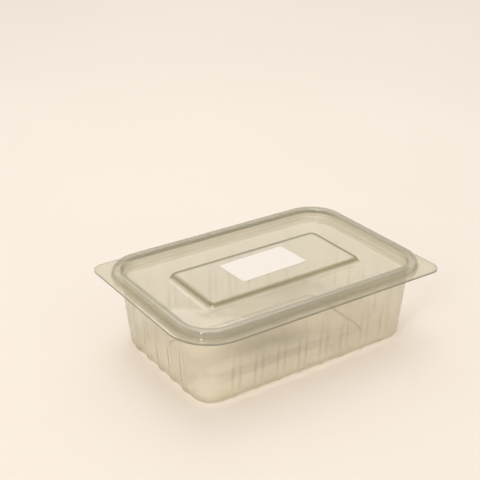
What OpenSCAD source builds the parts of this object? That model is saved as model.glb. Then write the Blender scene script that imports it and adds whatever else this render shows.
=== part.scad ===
// Food storage container: thin formed tray, snap-over lid and a plain paper label.
// Origin on the ground under the middle of the tray, X along the long side, Z up, millimetres.

/* [Overall size] */
// length over the flange
flange_l = 172; // [160:1:200]
// width over the flange
flange_w = 118; // [110:1:130]
// height of the tray flange's upper face above the ground
flange_z = 47; // [40:1:60]

/* [Rim] */
// corner radius of the flange where it has no ear
flange_r = 26; // [24:0.5:30]
// corner radius of the two pointed ears
ear_r = 7.5; // [3:0.5:10]
// flat width of the flange outside the bead
flange_flat = 4.6; // [4:0.2:6]
// width of the bead at flange height
bead_w = 4.6; // [4.4:0.1:6]
// height of the bead above the flange
bead_h = 4.2; // [3.6:0.2:6]
// rounding on the bead's upper edges
bead_round = 1.2; // [0.8:0.1:1.5]

/* [Tray] */
// thickness of the tray sheet
tray_t = 0.5; // [0.4:0.05:0.8]
// slope of the walls away from upright, in degrees
draft = 5; // [4:0.5:8]
// radius between wall and foot
foot_r = 5; // [4:0.5:7]

/* [Flutes] */
// flutes on a long wall
flutes_long = 8; // [4:1:9]
// flutes on a short wall
flutes_short = 5; // [2:1:5]
// depth of a flute at the foot
flute_d = 1.4; // [0.8:0.1:1.6]
// radius across a flute
flute_r = 4.5; // [4:0.5:6.5]
// share of the wall height at which a flute has run out
flute_run = 0.88; // [0.7:0.02:0.9]

/* [Lid] */
// thickness of the lid sheet
lid_t = 0.45; // [0.4:0.05:0.7]
// gap between lid and tray where they fit together
clearance = 0.3; // [0.3:0.05:0.45]
// depth of the sunk band below the lid's rim
band_d = 5.5; // [4.5:0.5:7]
// distance of the raised panel from the flange's ends
panel_inset_l = 33.5; // [32:0.5:38]
// distance of the raised panel from the flange's sides
panel_inset_w = 36; // [34:0.5:38]
// height of the raised panel above the sunk band
panel_h = 2.7; // [2:0.1:3.4]
// corner radius of the raised panel
panel_r = 4; // [3:0.5:6]
// space left round the panel under a tray stacked on top
stack_gap = 1; // [0.6:0.1:1.5]

/* [Label] */
// length of the label
label_l = 46; // [40:1:60]
// width of the label
label_w = 25; // [20:1:32]
// thickness of the label paper
label_t = 0.12; // [0.1:0.02:0.2]
// turn of the label on the lid, in degrees
label_turn = 1.5; // [0:0.5:5]
// shift of the label from the panel's middle towards the back
label_y = 3; // [0:1:5]

/* [Hidden] */
$fn = 72;

clear_plastic = [0.86, 0.80, 0.66, 0.5];
white_paper = [0.95, 0.94, 0.92];

// every outline is the rectangle of corner centres grown by a radius
half_l = flange_l / 2 - flange_r;
half_w = flange_w / 2 - flange_r;
slope = tan(draft);
// a thickness laid across a sloping wall, measured level
level = 1 / cos(draft);
bead_r = flange_r - flange_flat;
wall_r = bead_r - bead_w;
bead_z = flange_z + bead_h;
// rounding where bead and flange meet
fillet = 0.8;
// overrun of a cut past the face it opens
past = 2;

// the flutes lean less than the wall, end in a half ball just off the ground
flute_z = flute_run * flange_z;
flute_lean = atan(slope - flute_d / flute_z);
flute_lift = 0.3;
flute_foot = flute_r + flute_lift;
flute_reach = wall(flute_foot) + flute_d * (1 - flute_foot / flute_z) - flute_r / cos(flute_lean);

rim_z = bead_z + clearance + lid_t;
band_z = rim_z - band_d;
panel_z = band_z + panel_h;
// outward run of the panel's sides for each millimetre down
panel_run = 0.6;
panel_l = flange_l - 2 * panel_inset_l;
panel_w = flange_w - 2 * panel_inset_w;
recess_h = panel_h + label_t + clearance;

function wall(z) = wall_r + (z - flange_z) * slope;
function bead(z) = bead_r - (z - flange_z) * slope;

// a corner list [x, y, radius] becomes a polygon with its corners rounded
function unit(v) = v / norm(v);
function turn(a) = (a % 360 + 540) % 360 - 180;
function arc(c, r, from, sweep, steps) =
    [for (k = [0:steps]) c + r * [cos(from + sweep * k / steps), sin(from + sweep * k / steps)]];
function corner(a, b, c, r) = let (
        u = unit(a - b),
        v = unit(c - b),
        half = acos(u * v) / 2,
        centre = b + unit(u + v) * r / sin(half),
        start = b + u * r / tan(half) - centre,
        end = b + v * r / tan(half) - centre,
        from = atan2(start[1], start[0]),
        sweep = turn(atan2(end[1], end[0]) - from))
    arc(centre, r, from, sweep, ceil(3 + r / 2));
function flat2(p) = [p[0], p[1]];
function rounded(list) = let (n = len(list)) [for (i = [0:n - 1])
    each list[i][2] == 0
        ? [flat2(list[i])]
        : corner(flat2(list[(i + n - 1) % n]), flat2(list[i]), flat2(list[(i + 1) % n]), list[i][2])];

// a section [radius, height] carried round a rectangle of corner centres
module swept(half_x, half_y, section) {
    for (i = [0:3]) {
        along = i % 2 == 0 ? half_x : half_y;
        across = i % 2 == 0 ? half_y : half_x;
        rotate(90 * i) translate([along, across, 0]) {
            rotate_extrude(angle = 90) polygon(section);
            rotate([90, 0, 0]) linear_extrude(height = 2 * across) polygon(section);
        }
    }
}

// the same, with the middle closed between two heights
module filled(half_x, half_y, section, low, high) {
    swept(half_x, half_y, section);
    translate([-half_x, -half_y, low]) cube([2 * half_x, 2 * half_y, high - low]);
}

// two opposite flange corners run out square into ears for pulling the lid off
module ears(low, thickness) {
    inner = flange_r - flange_flat / 2;
    for (i = [0, 1]) rotate(180 * i) translate([half_l, -half_w, low])
        linear_extrude(height = thickness) difference() {
            polygon(rounded([[0, 0, 0], [flange_r, 0, 0], [flange_r, -flange_r, ear_r], [0, -flange_r, 0]]));
            circle(r = inner);
        }
}

// a raised panel with sloping sides, its top measured length by width
module panel(length, width, radius, low, high) {
    run = (high - low) * panel_run;
    section = [[0, low], [radius + run, low], [radius, high], [0, high]];
    filled(length / 2 - radius, width / 2 - radius, section, low, high);
}

// round-ended bars leaning less than the wall, so that they sink into it on the way up
module flute_bars(radius) {
    top = flange_z - flute_foot;
    section = concat([[0, top]], arc([0, 0], radius, -90, 90, 6), [[radius, top]]);
    for (i = [0:3]) {
        count = i % 2 == 0 ? flutes_short : flutes_long;
        length = i % 2 == 0 ? 2 * half_w : 2 * half_l;
        reach = (i % 2 == 0 ? half_l : half_w) + flute_reach;
        for (k = [0:count - 1]) rotate(90 * i)
            translate([reach, length * ((k + 0.5) / count - 0.5), flute_foot])
                rotate([0, flute_lean, 0]) rotate_extrude() polygon(section);
    }
}

// outer skin of the tray from the foot up over the bead and out to the flange
module tray_skin() {
    under = flange_z - tray_t;
    roof = bead_z - tray_t;
    shell = tray_t * level;
    section = rounded([
        [0, 0, 0],
        [wall(0), 0, foot_r],
        [wall(roof), roof, bead_round - tray_t],
        [bead(roof) - shell, roof, bead_round - tray_t],
        [bead(under) - shell, under, fillet + tray_t],
        [flange_r, under, 0],
        [flange_r, flange_z, 0],
        [bead(flange_z), flange_z, fillet],
        [bead(bead_z), bead_z, bead_round],
        [0, bead_z, 0]]);
    filled(half_l, half_w, section, 0, bead_z);
}

// food space of the tray, flaring over the rounded inner edge of the bead
module tray_space() {
    shell = tray_t * level;
    over = bead_z + past;
    lip = wall(bead_z) + past;
    section = rounded([
        [0, tray_t, 0],
        [wall(tray_t) - shell, tray_t, foot_r - tray_t],
        [wall(bead_z) - shell, bead_z, bead_round],
        [lip, bead_z, 0],
        [lip, over, 0],
        [0, over, 0]]);
    filled(half_l, half_w, section, tray_t, over);
}

module tray() {
    foot_l = panel_l + 2 * stack_gap;
    foot_w = panel_w + 2 * stack_gap;
    color(clear_plastic) difference() {
        union() {
            tray_skin();
            flute_bars(flute_r);
            ears(flange_z - tray_t, tray_t);
        }
        difference() {
            union() {
                tray_space();
                flute_bars(flute_r - tray_t);
            }
            panel(foot_l + 2 * tray_t, foot_w + 2 * tray_t, panel_r + tray_t, -past, recess_h + tray_t);
        }
        panel(foot_l, foot_w, panel_r, -past, recess_h);
    }
}

// lid sheet: flange, channel over the bead, plug inside the wall and the sunk band
module lid_sheet() {
    gap = clearance * level;
    sheet = lid_t * level;
    shell = tray_t * level;
    roof = rim_z - lid_t;
    under = band_z - lid_t;
    section = rounded([
        [0, under, 0],
        [wall(under) - shell - gap, under, 1 + lid_t],
        [wall(roof) - shell - gap, roof, bead_round + clearance],
        [bead(roof) + gap, roof, bead_round + clearance],
        [bead(flange_z) + gap, flange_z, fillet + clearance],
        [flange_r, flange_z, 0],
        [flange_r, flange_z + lid_t, 0],
        [bead(flange_z + lid_t) + gap + sheet, flange_z + lid_t, fillet + clearance - lid_t],
        [bead(rim_z) + gap + sheet, rim_z, bead_round + clearance + lid_t],
        [wall(rim_z) - shell - gap - sheet, rim_z, bead_round + clearance + lid_t],
        [wall(band_z) - shell - gap - sheet, band_z, 1],
        [0, band_z, 0]]);
    filled(half_l, half_w, section, under, band_z);
}

module lid() {
    color(clear_plastic) difference() {
        union() {
            lid_sheet();
            ears(flange_z, lid_t);
            panel(panel_l, panel_w, panel_r, band_z, panel_z);
        }
        panel(panel_l - 2 * lid_t, panel_w - 2 * lid_t, panel_r - lid_t, band_z - past, panel_z - lid_t);
    }
}

module label() {
    x = label_l / 2;
    y = label_w / 2;
    color(white_paper) translate([0, label_y, panel_z]) rotate(label_turn)
        linear_extrude(height = label_t)
            polygon(rounded([[-x, -y, 2], [x, -y, 2], [x, y, 2], [-x, y, 2]]));
}

tray();
lid();
label();
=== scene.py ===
"""A clear plastic food container: fluted tray, lid pressed over its rim, blank paper label."""

import math

import bmesh
import bpy
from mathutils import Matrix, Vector


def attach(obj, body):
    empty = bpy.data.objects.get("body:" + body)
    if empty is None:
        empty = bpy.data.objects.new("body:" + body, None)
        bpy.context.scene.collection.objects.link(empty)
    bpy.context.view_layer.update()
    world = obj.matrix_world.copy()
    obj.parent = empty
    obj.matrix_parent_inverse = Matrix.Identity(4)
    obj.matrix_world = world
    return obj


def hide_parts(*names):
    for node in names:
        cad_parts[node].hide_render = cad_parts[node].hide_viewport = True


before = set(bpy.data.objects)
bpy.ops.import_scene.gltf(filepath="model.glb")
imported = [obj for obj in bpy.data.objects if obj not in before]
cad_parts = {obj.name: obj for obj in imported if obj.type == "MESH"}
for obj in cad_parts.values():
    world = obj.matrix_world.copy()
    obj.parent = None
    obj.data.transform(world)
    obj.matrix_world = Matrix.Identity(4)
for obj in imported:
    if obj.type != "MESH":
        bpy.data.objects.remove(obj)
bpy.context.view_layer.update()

MM = 0.001

# sizes of the solids, in millimetres and degrees
FLANGE_L, FLANGE_W, FLANGE_Z, FLANGE_R = 172, 118, 47, 26
EAR_R, FLANGE_FLAT = 7.5, 4.6
BEAD_W, BEAD_H, BEAD_ROUND = 4.6, 4.2, 1.2
TRAY_T, LID_T, LABEL_T, CLEARANCE = 0.5, 0.45, 0.12, 0.3
DRAFT, FOOT_R, FILLET = 5, 5, 0.8
FLUTES_LONG, FLUTES_SHORT = 8, 5
FLUTE_D, FLUTE_R, FLUTE_RUN, FLUTE_LIFT = 1.4, 4.5, 0.88, 0.3
BAND_D, BAND_ROUND = 5.5, 1
PANEL_INSET_L, PANEL_INSET_W = 33.5, 36
PANEL_H, PANEL_R, PANEL_RUN, STACK_GAP = 2.7, 4, 0.6, 1

HALF_L = FLANGE_L / 2 - FLANGE_R
HALF_W = FLANGE_W / 2 - FLANGE_R
SLOPE = math.tan(math.radians(DRAFT))
LEVEL = 1 / math.cos(math.radians(DRAFT))
BEAD_R = FLANGE_R - FLANGE_FLAT
WALL_R = BEAD_R - BEAD_W
BEAD_Z = FLANGE_Z + BEAD_H
RIM_Z = BEAD_Z + CLEARANCE + LID_T
BAND_Z = RIM_Z - BAND_D
FLUTE_FOOT = FLUTE_R + FLUTE_LIFT
PANEL_L = FLANGE_L - 2 * PANEL_INSET_L
PANEL_W = FLANGE_W - 2 * PANEL_INSET_W
RECESS_H = PANEL_H + LABEL_T + CLEARANCE

# softening of the edges that the solids leave sharp, in millimetres
PANEL_ROUND, FLUTE_BLEND = 1, 0.12

# the drawn sheets are a little thinner than the solids, so touching faces never coincide
AIR = 0.06

# painted shade: how far the sheet is painted dark at a bend, from 0 to 1,
# at a bend of 1 mm radius, beside a flute and at the flange's cut edge
BEND_SHADE, FLUTE_SHADE, CUT_EDGE_SHADE = 0.3, 0.48, 0.26
# how much stronger the painted shade is along the upper edge of the tray's recess and of the lid's panel
RECESS_SHADE, PANEL_SHADE = 0.6, 4.6
# half the width of the painted dark line beside a flute in millimetres, and how fast the painted shade at
# the cut edge fades
FLUTE_SHADE_WIDTH, CUT_SHADE_FADE = 0.35, 8

# mesh density: steps round a corner, along each flute and round a bend, rows up the wall and over the flange
CORNER_STEPS, FLUTE_STEPS, BEND_STEPS, PANEL_STEPS = 32, 12, 7, 5
WALL_ROWS, FLANGE_ROWS = 22, 6

# flat margins where one run of rings hands over to the next, in millimetres
TOP_MARGIN, BASE_MARGIN, FOOT_MARGIN, BAND_MARGIN = 2.5, 3, 2, 4

# the photograph's camera: degrees, millimetres and the focal length for a 36 mm sensor
VIEW_AZ, VIEW_EL, VIEW_DIST = -33.97, 25.25, 587.5
VIEW_TARGET = (-12.7, 8.6, 65.6)
VIEW_LENS = 75.6

# the floor, in metres: its radius, and how far it lies below the foot
FLOOR_R, FLOOR_DROP = 6, 0.0002


# Sections


def wall(z):
    """Outer radius of the tray wall at a height, from the corner centres."""
    return WALL_R + (z - FLANGE_Z) * SLOPE


def bead(z):
    """Outer radius of the bead at a height."""
    return BEAD_R - (z - FLANGE_Z) * SLOPE


def rounded_corner(a, b, c, radius, steps):
    """Points (radius, height, painted shade) of an arc that rounds the corner b between a and c."""
    u, v = (a - b).normalized(), (c - b).normalized()
    half = u.angle(v) / 2
    centre = b + (u + v).normalized() * (radius / math.sin(half))
    start = b + u * (radius / math.tan(half)) - centre
    end = b + v * (radius / math.tan(half)) - centre
    turn = math.pi - 2 * half
    points = []
    for k in range(steps + 1):
        t = k / steps
        w = math.sin((1 - t) * turn) * start + math.sin(t * turn) * end
        x, z = centre + w / math.sin(turn)
        # painted shade, deeper the tighter the bend
        points.append(Vector((x, z, BEND_SHADE / math.sqrt(radius))))
    return points


def section(corners, steps=BEND_STEPS):
    """A line through corners (radius, height, rounding) with its corners rounded."""
    flat = [Vector((r, z)) for r, z, _ in corners]
    points = [flat[0].to_3d()]
    for k in range(1, len(corners) - 1):
        points += rounded_corner(flat[k - 1], flat[k], flat[k + 1], corners[k][2], steps)
    return points + [flat[-1].to_3d()]


def with_rows(points, rows):
    """The same line with its longest straight run cut into rows."""
    gaps = [(b - a).length for a, b in zip(points, points[1:])]
    at = gaps.index(max(gaps))
    a, b = points[at], points[at + 1]
    extra = [a.lerp(b, k / rows).to_2d().to_3d() for k in range(1, rows)]
    return points[: at + 1] + extra + points[at + 1 :]


# Rings round the container


def ear_reach(angle):
    """How far an ear's outline stands out past the flange's round corner, at an angle in it."""
    inset = FLANGE_R - EAR_R
    c, s = math.cos(angle), math.sin(angle)
    if min(c, s) * FLANGE_R <= inset * max(c, s):
        return FLANGE_R / max(c, s) - FLANGE_R
    return inset * (c + s) + math.sqrt(EAR_R**2 - (inset * (c - s)) ** 2) - FLANGE_R


class Spot:
    """One place on the way round: where its corner centre is, which way is out, and what stands there."""

    def __init__(self, sx, sy, angle, ear=0.0, flute=None):
        self.sx, self.sy = sx, sy
        self.nx, self.ny = math.cos(angle), math.sin(angle)
        self.ear, self.flute = ear, flute


def side_spots(start, end, angle, count, length):
    """Places along one straight side, each with its distance from the nearest flute's middle."""
    pitch = length / count
    steps = count * FLUTE_STEPS
    spots = []
    for k in range(1, steps):
        t = k / steps
        across = (t * length) % pitch - pitch / 2
        sx, sy = (a + (b - a) * t for a, b in zip(start, end))
        spots.append(Spot(sx, sy, angle, flute=across))
    return spots


def way_round():
    """Every place round the container, from the +X +Y corner on."""
    signs = [(1, 1), (-1, 1), (-1, -1), (1, -1)]
    spots = []
    for k, sign in enumerate(signs):
        for j in range(CORNER_STEPS + 1):
            inside = math.pi / 2 * j / CORNER_STEPS
            ear = ear_reach(inside) if k % 2 else 0.0
            spots.append(Spot(*sign, math.pi / 2 * k + inside, ear=ear))
        count, half = ((FLUTES_LONG, HALF_L), (FLUTES_SHORT, HALF_W))[k % 2]
        spots += side_spots(sign, signs[(k + 1) % 4], math.pi / 2 * (k + 1), count, 2 * half)
    return spots


SPOTS = way_round()


def flute_bulge(spot, z):
    """How far a flute pushes the wall out at a place and height, and the painted shade there."""
    if spot.flute is None or z <= 0 or z >= FLANGE_Z:
        return 0.0, 0.0
    fade = 1 - max(0.0, 1 - z / FLUTE_FOOT) ** 2
    depth = FLUTE_D * max(0.0, 1 - z / (FLUTE_RUN * FLANGE_Z)) * fade
    bulge = depth - FLUTE_R + math.sqrt(max(0.0, FLUTE_R**2 - spot.flute**2))
    out = (bulge + math.sqrt(bulge**2 + FLUTE_BLEND**2)) / 2 * fade
    # painted shade: a dark line along both edges of each flute, fading with the flute's depth
    return out, FLUTE_SHADE * math.exp(-((bulge / FLUTE_SHADE_WIDTH) ** 2)) * depth / FLUTE_D


def ring(half_x, half_y, radius, z, painted_shade=0.0, ear=0.0, fluted=False):
    """One ring of (point, painted shade): a rectangle of corner centres grown by a radius, at a height."""
    points = []
    for s in SPOTS:
        out, shade_level = flute_bulge(s, z) if fluted else (0.0, 0.0)
        r = radius + ear * s.ear + out
        place = Vector((s.sx * half_x + r * s.nx, s.sy * half_y + r * s.ny, z)) * MM
        points.append((place, max(painted_shade, shade_level)))
    return points


def panel_rings(length, width, radius, top, base, painted_shade):
    """Rings of a raised panel from its middle outwards, with painted shade towards the upper edge of its
    sloping sides.
    """
    foot = radius + (top - base) * PANEL_RUN
    corners = [
        (radius - TOP_MARGIN, top, 0),
        (radius, top, PANEL_ROUND),
        (foot, base, PANEL_ROUND),
        (foot + BASE_MARGIN, base, 0),
    ]
    half_x, half_y = length / 2 - radius, width / 2 - radius
    rings = []
    for p in section(corners, PANEL_STEPS):
        up = (p.y - base) / (top - base)
        # painted shade along the upper edge of the panel's sloping sides
        rings.append(ring(half_x, half_y, p.x, p.y, p.z * painted_shade * up**2))
    return rings


def flange_rings(radius, z):
    """Rings across the flat flange, growing out into the two ears."""
    rings = []
    for k in range(1, FLANGE_ROWS + 1):
        t = k / FLANGE_ROWS
        reach = radius + (FLANGE_R - radius) * t
        # painted shade, darkening the flange just at its cut edge
        rings.append(ring(HALF_L, HALF_W, reach, z, painted_shade=CUT_EDGE_SHADE * t**CUT_SHADE_FADE, ear=t))
    return rings


# Sheets


def skin(rings):
    """A mesh of one face of a sheet, from its middle outwards, with the painted shade kept on its points."""
    bm = bmesh.new()
    painted_shade = bm.verts.layers.float.new("painted_shade")
    rows = []
    for points in rings:
        row = [bm.verts.new(p) for p, _ in points]
        for v, (_, shade_level) in zip(row, points):
            v[painted_shade] = shade_level
        rows.append(row)
    bm.faces.new(list(reversed(rows[0])))
    for inner, outer in zip(rows, rows[1:]):
        for i in range(len(inner)):
            j = (i + 1) % len(inner)
            bm.faces.new((inner[i], inner[j], outer[j], outer[i]))
    return bm


def thicken(bm, thickness):
    """Turns a skin into a closed sheet by adding its other face and the cut edge."""
    bm.normal_update()
    points, faces = list(bm.verts), list(bm.faces)
    border = [e for e in bm.edges if e.is_boundary]
    painted_shade = bm.verts.layers.float["painted_shade"]
    twin = {v: bm.verts.new(v.co - v.normal * thickness * v.calc_shell_factor()) for v in points}
    for v in points:
        twin[v][painted_shade] = v[painted_shade]
    for f in faces:
        bm.faces.new([twin[v] for v in reversed(f.verts)])
    for e in border:
        a, b = e.verts
        cut = bm.faces.new((a, b, twin[b], twin[a]))
        for side in cut.edges:
            if set(side.verts) in ({a, b}, {twin[a], twin[b]}):
                side.smooth = False


def sheet_piece(name, rings, thickness, body, node):
    """A formed sheet made of rings from the middle outwards, standing for its CAD node."""
    bm = skin(rings)
    thicken(bm, thickness * MM)
    bmesh.ops.recalc_face_normals(bm, faces=bm.faces)
    mesh = bpy.data.meshes.new(name)
    bm.to_mesh(mesh)
    bm.free()
    mesh.polygons.foreach_set("use_smooth", [True] * len(mesh.polygons))
    piece = bpy.data.objects.new(name, mesh)
    bpy.context.scene.collection.objects.link(piece)
    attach(piece, body)
    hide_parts(node)
    return piece


def make_tray():
    """Foot with its stacking recess, fluted wall, bead and flange, seen from the outside of the sheet."""
    under, roof = FLANGE_Z - TRAY_T, BEAD_Z - TRAY_T
    shell = TRAY_T * LEVEL
    turn = BEAD_ROUND - TRAY_T
    line = section(
        [
            (wall(0) - FOOT_R - FOOT_MARGIN, 0, 0),
            (wall(0), 0, FOOT_R),
            (wall(roof), roof, turn),
            (bead(roof) - shell, roof, turn),
            (bead(under) - shell, under, FILLET + TRAY_T),
            (BEAD_R + FILLET + TRAY_T, under, 0),
        ]
    )
    line = with_rows(line, WALL_ROWS)
    recess_l, recess_w = PANEL_L + 2 * STACK_GAP, PANEL_W + 2 * STACK_GAP
    rings = panel_rings(recess_l, recess_w, PANEL_R, RECESS_H, 0, RECESS_SHADE)
    rings += [ring(HALF_L, HALF_W, *p, fluted=p.x < wall(roof)) for p in line]
    rings += flange_rings(line[-1].x, under)
    return sheet_piece("tray_shell", rings, TRAY_T - AIR, "tray", "tray")


def make_lid():
    """Raised panel, sunk band, plug, channel over the bead and flange, seen from under the sheet."""
    gap, shell = CLEARANCE * LEVEL, TRAY_T * LEVEL
    under, roof = BAND_Z - LID_T, RIM_Z - LID_T
    turn = BEAD_ROUND + CLEARANCE
    line = section(
        [
            (wall(under) - shell - gap - BAND_MARGIN, under, 0),
            (wall(under) - shell - gap, under, BAND_ROUND + LID_T),
            (wall(roof) - shell - gap, roof, turn),
            (bead(roof) + gap, roof, turn),
            (bead(FLANGE_Z) + gap, FLANGE_Z, FILLET + CLEARANCE),
            (BEAD_R + FILLET + 2 * CLEARANCE, FLANGE_Z, 0),
        ]
    )
    top = BAND_Z + PANEL_H - LID_T
    inner_l, inner_w = PANEL_L - 2 * LID_T, PANEL_W - 2 * LID_T
    rings = panel_rings(inner_l, inner_w, PANEL_R - LID_T, top, under, PANEL_SHADE)
    rings += [ring(HALF_L, HALF_W, *p) for p in line]
    rings += flange_rings(line[-1].x, FLANGE_Z)
    return sheet_piece("lid_shell", rings, LID_T - AIR, "lid", "lid")


# Materials


def new_material(name):
    """A node material with its Principled shader."""
    mat = bpy.data.materials.new(name)
    mat.use_nodes = True
    return mat, mat.node_tree, mat.node_tree.nodes["Principled BSDF"]


def noise(tree, scale, detail):
    """A noise pattern fixed to the object, its scale in cells a metre."""
    place = tree.nodes.new("ShaderNodeTexCoord")
    node = tree.nodes.new("ShaderNodeTexNoise")
    node.inputs["Scale"].default_value = scale
    node.inputs["Detail"].default_value = detail
    tree.links.new(place.outputs["Object"], node.inputs["Vector"])
    return node.outputs["Fac"]


def between(tree, value, low, high):
    """A number that follows a noise pattern, whose values are mostly 0.3 to 0.7, between two ends."""
    node = tree.nodes.new("ShaderNodeMapRange")
    node.inputs["From Min"].default_value = 0.3
    node.inputs["From Max"].default_value = 0.7
    node.inputs["To Min"].default_value = low
    node.inputs["To Max"].default_value = high
    tree.links.new(value, node.inputs["Value"])
    return node.outputs["Result"]


def blended(tree, value, low, high):
    """A colour that follows a value between two colours, each a colour or a socket."""
    node = tree.nodes.new("ShaderNodeMix")
    node.data_type = "RGBA"
    tree.links.new(value, node.inputs["Factor"])
    for name, colour in (("A_Color", low), ("B_Color", high)):
        socket = next(s for s in node.inputs if s.identifier == name)
        if isinstance(colour, tuple):
            socket.default_value = (*colour, 1)
        else:
            tree.links.new(colour, socket)
    return next(s for s in node.outputs if s.identifier == "Result_Color")


def bumped(tree, height, strength, distance):
    """A surface normal that follows a height pattern, its distance in metres."""
    node = tree.nodes.new("ShaderNodeBump")
    node.inputs["Strength"].default_value = strength
    node.inputs["Distance"].default_value = distance
    tree.links.new(height, node.inputs["Height"])
    return node.outputs["Normal"]


def lets_lamps_through(tree, shader, tint):
    """Thin sheet bends no light, so a lamp shines straight through it with a tint."""
    path = tree.nodes.new("ShaderNodeLightPath")
    film = tree.nodes.new("ShaderNodeBsdfTransparent")
    tree.links.new(tint, film.inputs["Color"])
    mix = tree.nodes.new("ShaderNodeMixShader")
    tree.links.new(path.outputs["Is Shadow Ray"], mix.inputs["Fac"])
    tree.links.new(shader.outputs["BSDF"], mix.inputs[1])
    tree.links.new(film.outputs["BSDF"], mix.inputs[2])
    tree.links.new(mix.outputs["Shader"], tree.nodes["Material Output"].inputs["Surface"])


def clear_plastic():
    """Thin formed sheet: warm tint, slight haze, a slow ripple, painted shade at bends, beside flutes and at
    the cut edge, and a deeper tint seen edge on.
    """
    mat, tree, shader = new_material("clear_plastic")
    cloud = between(tree, noise(tree, scale=45, detail=3), 0, 1)
    tint = blended(tree, cloud, (0.96, 0.953, 0.90), (0.94, 0.93, 0.865))
    # painted shade: the sheet goes towards a dark olive where the painted shade attribute is set, at bends,
    # beside flutes and at the cut edge
    shade_level = tree.nodes.new("ShaderNodeAttribute")
    shade_level.attribute_name = "painted_shade"
    tint = blended(tree, shade_level.outputs["Fac"], tint, (0.40, 0.37, 0.23))
    facing = tree.nodes.new("ShaderNodeLayerWeight")
    facing.inputs["Blend"].default_value = 0.3
    tint = blended(tree, facing.outputs["Facing"], tint, (0.63, 0.585, 0.44))
    haze = between(tree, noise(tree, scale=260, detail=4), 0.015, 0.06)
    ripple = bumped(tree, noise(tree, scale=35, detail=2), strength=0.25, distance=0.0006)
    tree.links.new(tint, shader.inputs["Base Color"])
    tree.links.new(haze, shader.inputs["Roughness"])
    tree.links.new(ripple, shader.inputs["Normal"])
    shader.inputs["Transmission Weight"].default_value = 0.9
    shader.inputs["IOR"].default_value = 1.49
    film = blended(tree, facing.outputs["Facing"], (0.95, 0.94, 0.93), (0.50, 0.47, 0.45))
    lets_lamps_through(tree, shader, film)
    return mat


def label_paper():
    """White coated paper with a fine fibre grain."""
    mat, tree, shader = new_material("label_paper")
    fibre = noise(tree, scale=2600, detail=5)
    tint = blended(tree, between(tree, fibre, 0, 1), (0.80, 0.73, 0.64), (0.85, 0.78, 0.69))
    grain = bumped(tree, fibre, strength=0.2, distance=0.00005)
    tree.links.new(tint, shader.inputs["Base Color"])
    tree.links.new(between(tree, fibre, 0.55, 0.7), shader.inputs["Roughness"])
    tree.links.new(grain, shader.inputs["Normal"])
    return mat


def pale_floor():
    """A matt, barely mottled warm white."""
    mat, tree, shader = new_material("floor")
    mottle = between(tree, noise(tree, scale=3, detail=2), 0, 1)
    tint = blended(tree, mottle, (0.88, 0.785, 0.685), (0.90, 0.805, 0.705))
    tree.links.new(tint, shader.inputs["Base Color"])
    shader.inputs["Roughness"].default_value = 0.9
    shader.inputs["Specular IOR Level"].default_value = 0.1
    return mat


def paint(obj, mat):
    """Gives a piece one material."""
    obj.data.materials.clear()
    obj.data.materials.append(mat)


# Stage


def make_floor():
    """A wide pale floor."""
    bm = bmesh.new()
    bmesh.ops.create_circle(bm, cap_ends=True, radius=FLOOR_R, segments=96)
    mesh = bpy.data.meshes.new("floor")
    bm.to_mesh(mesh)
    bm.free()
    floor = bpy.data.objects.new("floor", mesh)
    floor.location.z = -FLOOR_DROP
    bpy.context.scene.collection.objects.link(floor)
    paint(floor, pale_floor())


def seen_ray(tree):
    """1 for the rays that show the background: camera, mirror and see-through rays."""
    path = tree.nodes.new("ShaderNodeLightPath")
    total = path.outputs["Is Camera Ray"]
    for name in ("Is Glossy Ray", "Is Transmission Ray"):
        node = tree.nodes.new("ShaderNodeMath")
        node.operation = "MAXIMUM"
        tree.links.new(total, node.inputs[0])
        tree.links.new(path.outputs[name], node.inputs[1])
        total = node.outputs[0]
    return total


def make_world():
    """Even soft light, seen as the pale backdrop."""
    world = bpy.data.worlds.new("world")
    bpy.context.scene.world = world
    world.use_nodes = True
    tree = world.node_tree
    back = tree.nodes["Background"]
    colour = blended(tree, seen_ray(tree), (0.66, 0.66, 0.67), (0.95, 0.86, 0.77))
    tree.links.new(colour, back.inputs["Color"])
    back.inputs["Strength"].default_value = 1.0


def add_lamp(name, place, aim, size, power, colour=(1, 1, 1)):
    """A soft rectangular lamp, in metres and watts."""
    data = bpy.data.lights.new(name, "AREA")
    data.shape = "RECTANGLE"
    data.size, data.size_y = size
    data.energy = power
    data.color = colour
    lamp = bpy.data.objects.new(name, data)
    lamp.location = place
    lamp.rotation_euler = (Vector(aim) - Vector(place)).to_track_quat("-Z", "Y").to_euler()
    bpy.context.scene.collection.objects.link(lamp)


def make_lights():
    """A tall key on the camera's left, a fill from above and a wide lamp that evens out the far floor."""
    add_lamp("key", (-1.06, -0.64, 0.86), (0, 0, 0.03), (0.145, 0.64), 5.6, (1.0, 0.97, 0.94))
    add_lamp("top", (0.05, 0.2, 1.0), (0, 0, 0), (0.45, 0.45), 2.3)
    add_lamp("back", (0.7, 1.1, 1.3), (0.6, 1.0, 0), (1.4, 1.4), 5.4)


def make_camera():
    """The photograph's camera, over the near corner."""
    az, el = math.radians(VIEW_AZ), math.radians(VIEW_EL)
    back = Vector((math.sin(az) * math.cos(el), -math.cos(az) * math.cos(el), math.sin(el)))
    data = bpy.data.cameras.new("camera")
    data.lens = VIEW_LENS
    data.clip_start = 0.01
    camera = bpy.data.objects.new("camera", data)
    camera.location = (Vector(VIEW_TARGET) + back * VIEW_DIST) * MM
    camera.rotation_euler = (-back).to_track_quat("-Z", "Y").to_euler()
    bpy.context.scene.collection.objects.link(camera)
    bpy.context.scene.camera = camera


bpy.context.scene.view_settings.view_transform = "Standard"
plastic = clear_plastic()
for piece in (make_tray(), make_lid()):
    paint(piece, plastic)
paint(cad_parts["label"], label_paper())
make_floor()
make_world()
make_lights()
make_camera()
